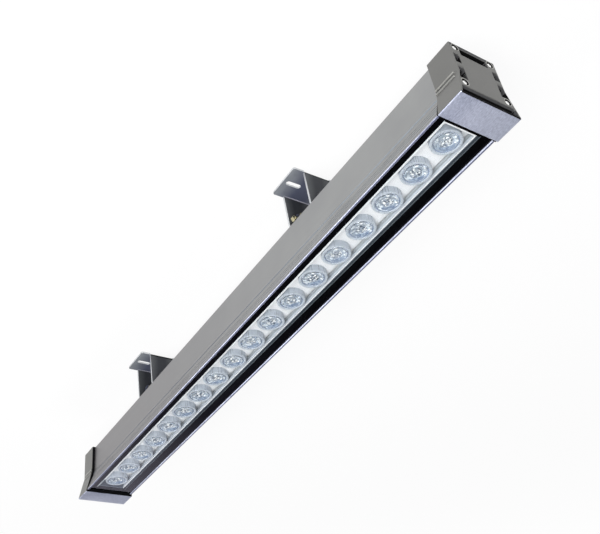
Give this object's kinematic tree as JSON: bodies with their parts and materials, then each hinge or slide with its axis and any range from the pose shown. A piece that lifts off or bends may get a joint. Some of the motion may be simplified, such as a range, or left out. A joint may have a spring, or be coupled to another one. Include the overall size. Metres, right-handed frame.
{
  "type": "linear wall washer light",
  "caption": "Long outdoor wall washer light: aluminium channel with cast end caps, a glass front over a row of lenses, and folded steel brackets that slide along its back and tilt.",
  "frame": {"origin": "middle of the bounding box, gland included, on the plane of the two feet's wall faces", "axes": "+X along the light towards the cable gland, +Z from the feet to the glass, +Y across the light"},
  "size_m": [1.016, 0.083, 0.152],
  "materials": {
    "housing": "satin anodised",
    "end_cap": "satin die casting, brushed front face",
    "glass": "clear polished",
    "print": "gloss black print",
    "seal": "matte",
    "screws": "bright",
    "tray": "satin white",
    "board": "white mask",
    "package": "clear dome over phosphor",
    "holder": "frosted",
    "lens": "clear polished",
    "driver": "matte",
    "lead_black": "matte",
    "lead_red": "matte",
    "gland": "nickel plated",
    "lug": "dark satin",
    "track_nut": "zinc plated",
    "bracket": "dark satin",
    "brass_nut": "dull"
  },
  "bodies": {
    "lamp": {"housing": "housing", "glass_cover": "glass", "glass_print": "print", "glass_seal": "seal", "end_cap_left": "end_cap", "end_cap_right": "end_cap", "cap_gasket_left": "seal", "cap_gasket_right": "seal", "cap_screws_left": "screws", "cap_screws_right": "screws", "reflector_tray": "tray", "lamp_boards": "board", "lamp_packages": "package", "board_screws": "screws", "lens_holders": "holder", "driver": "driver", "driver_screws": "screws", "supply_lead": "lead_black", "board_lead": "lead_red", "gland_body": "gland", "gland_nut": "gland", "gland_seal": "seal", "lens_01": "lens", "lens_02": "lens", "lens_03": "lens", "lens_04": "lens", "lens_05": "lens", "lens_06": "lens", "lens_07": "lens", "lens_08": "lens", "lens_09": "lens", "lens_10": "lens", "lens_11": "lens", "lens_12": "lens", "lens_13": "lens", "lens_14": "lens", "lens_15": "lens", "lens_16": "lens", "lens_17": "lens", "lens_18": "lens"},
    "lug_left": {"lug_left": "lug", "track_screws_left": "screws", "track_nuts_left": "track_nut", "pivot_bolts_left": "screws", "pivot_nuts_left": "brass_nut", "pivot_washers_left": "screws"},
    "lug_right": {"lug_right": "lug", "track_screws_right": "screws", "track_nuts_right": "track_nut", "pivot_bolts_right": "screws", "pivot_nuts_right": "brass_nut", "pivot_washers_right": "screws"},
    "bracket_left": {"bracket_left": "bracket"},
    "bracket_right": {"bracket_right": "bracket"}
  },
  "joints": [
    {"name": "slide_left", "type": "slide", "parent": "lamp", "child": "lug_left", "axis": [1, 0, 0], "range_m": [-0.2, 0.14]},
    {"name": "slide_right", "type": "slide", "parent": "lamp", "child": "lug_right", "axis": [1, 0, 0], "range_m": [-0.2, 0.14]},
    {"name": "tilt_left", "type": "hinge", "parent": "lug_left", "child": "bracket_left", "pos_m": [-0.2035, 0, 0.0385], "axis": [1, 0, 0], "range_deg": [-80, 80]},
    {"name": "tilt_right", "type": "hinge", "parent": "lug_right", "child": "bracket_right", "pos_m": [0.267, 0, 0.0385], "axis": [1, 0, 0], "range_deg": [-80, 80]}
  ],
  "couplings": [
    {"joint": "tilt_right", "follows": "tilt_left", "ratio": 1}
  ]
}
